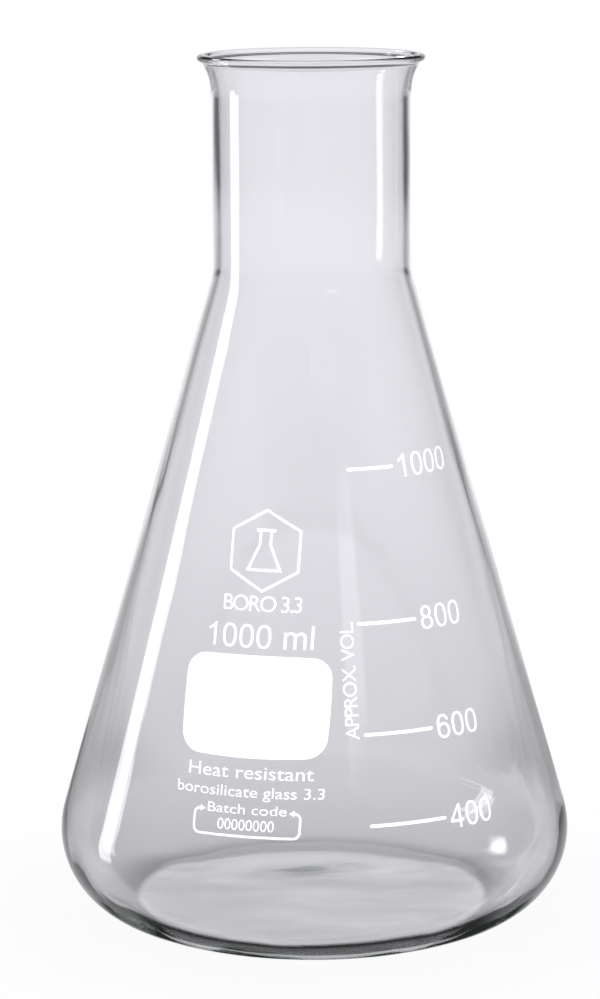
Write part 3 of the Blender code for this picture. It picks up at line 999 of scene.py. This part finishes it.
def floor_material():
    """A white sweep with a faint painted contact shadow. What the glass bends shows it with painted
    light and shade.
    """
    material, nodes = new_material("pale_sweep")
    place = nodes.add("NewGeometry").outputs["Position"]
    right, ahead = camera_axes(nodes, place)
    length = nodes.add("VectorMath", operation="LENGTH")
    nodes.put(length, 0, place)
    distance = length.outputs["Value"]
    # A faint painted contact shadow round the foot, on the floor the camera sees.
    contact = nodes.ramp(distance, *PAINTED_CONTACT_SHADOW, 1.0)
    grain = nodes.ramp(nodes.noise(place, scale=60, detail=3), 0.3, 0.7, -0.004, 0.0)
    level = nodes.math("ADD", contact, grain)
    level = nodes.mix(nodes.ramp(distance, 0.1, 0.8), level, WHITE)
    lit = lit_floor(nodes, place, right, ahead, distance)
    emission = nodes.add("Emission")
    nodes.put(emission, "Color", seen_or_mirrored(nodes, level, lit))
    output = nodes.add("OutputMaterial")
    nodes.put(output, "Surface", emission.outputs[0])
    return material


def add_staging(name, mesh, material):
    """Adds an object that only serves the picture."""
    mesh.materials.append(material)
    prop = bpy.data.objects.new(name, mesh)
    bpy.context.scene.collection.objects.link(prop)
    return prop


def build_floor():
    height = GLASS_LOW.z - FLOOR_DROP
    ring = [
        turned_point(FLOOR_RADIUS, height, math.tau * i / FLOOR_SIDES) for i in range(FLOOR_SIDES)
    ]
    mesh = bpy.data.meshes.new("floor")
    mesh.from_pydata(ring, [], [range(FLOOR_SIDES)])
    add_staging("floor", mesh, floor_material())


def strip_material():
    """Bright along its middle, with soft edges, and unseen from steeply above."""
    material, nodes = new_material("strip_light")
    place = nodes.add("SeparateXYZ")
    nodes.put(place, 0, nodes.add("TexCoord").outputs["Object"])
    near, far = STRIP_AHEAD
    across = window(nodes, place.outputs[1], near + STRIP_EDGE, far - STRIP_EDGE, STRIP_EDGE)
    strength = nodes.product(STRIP_STRENGTH, nodes.product(across, seen_level(nodes)))
    emission = nodes.add("Emission")
    nodes.put(emission, "Color", STRIP_COLOUR)
    nodes.put(emission, "Strength", strength)
    output = nodes.add("OutputMaterial")
    nodes.put(output, "Surface", emission.outputs[0])
    return material


def build_strip_light(camera):
    """The upright strip light left of the flask, whose long reflection runs down the glass."""
    (near, far), (low, high) = STRIP_AHEAD, STRIP_HEIGHT
    corners = [
        (STRIP_SIDE, ahead, height)
        for ahead, height in ((near, low), (far, low), (far, high), (near, high))
    ]
    mesh = bpy.data.meshes.new("strip_light")
    mesh.from_pydata(corners, [], [(0, 1, 2, 3)])
    strip = add_staging("strip_light", mesh, strip_material())
    strip.parent = camera
    strip.matrix_parent_inverse = camera.matrix_world.inverted()
    strip.visible_camera = False


def build_lamp(camera, name, right, up):
    """A broad sun that turns with the camera. It lights the enamel, and the glass doesn't show it."""
    lamp = bpy.data.lights.new(name, "SUN")
    lamp.energy = LAMP_STRENGTH
    lamp.angle = LAMP_SPREAD
    sun = bpy.data.objects.new(name, lamp)
    bpy.context.scene.collection.objects.link(sun)
    sun.parent = camera
    sun.rotation_euler = (math.radians(-up), math.radians(right), 0)
    sun.visible_glossy = False
    sun.visible_transmission = False


def build_camera():
    """The camera, at the picture's viewing angle, with the lights that turn with it."""
    data = bpy.data.cameras.new("camera")
    data.lens = LENS
    data.sensor_width = SENSOR
    camera = bpy.data.objects.new("camera", data)
    bpy.context.scene.collection.objects.link(camera)
    bpy.context.scene.camera = camera
    camera.matrix_world = (
        Matrix.Translation(CAMERA_PLACE)
        @ Matrix.Rotation(math.pi / 2 - CAMERA_DOWN, 4, "X")
        @ Matrix.Rotation(CAMERA_ROLL, 4, "Z")
    )
    for lamp in LAMPS:
        build_lamp(camera, *lamp)
    build_strip_light(camera)


def set_light_paths():
    """Enough bounces for light to pass through all walls of the glass."""
    scene = bpy.context.scene
    scene.view_settings.view_transform = "Standard"
    scene.cycles.max_bounces = BOUNCES
    scene.cycles.transmission_bounces = BOUNCES
    scene.cycles.glossy_bounces = BOUNCES
    scene.cycles.transparent_max_bounces = BOUNCES


def main():
    build_glass()
    enamel = enamel_material()
    build_scale(enamel)
    build_scale_caption(enamel)
    build_label(enamel)
    build_small_print(enamel)
    studio_world()
    build_floor()
    build_camera()
    set_light_paths()


main()
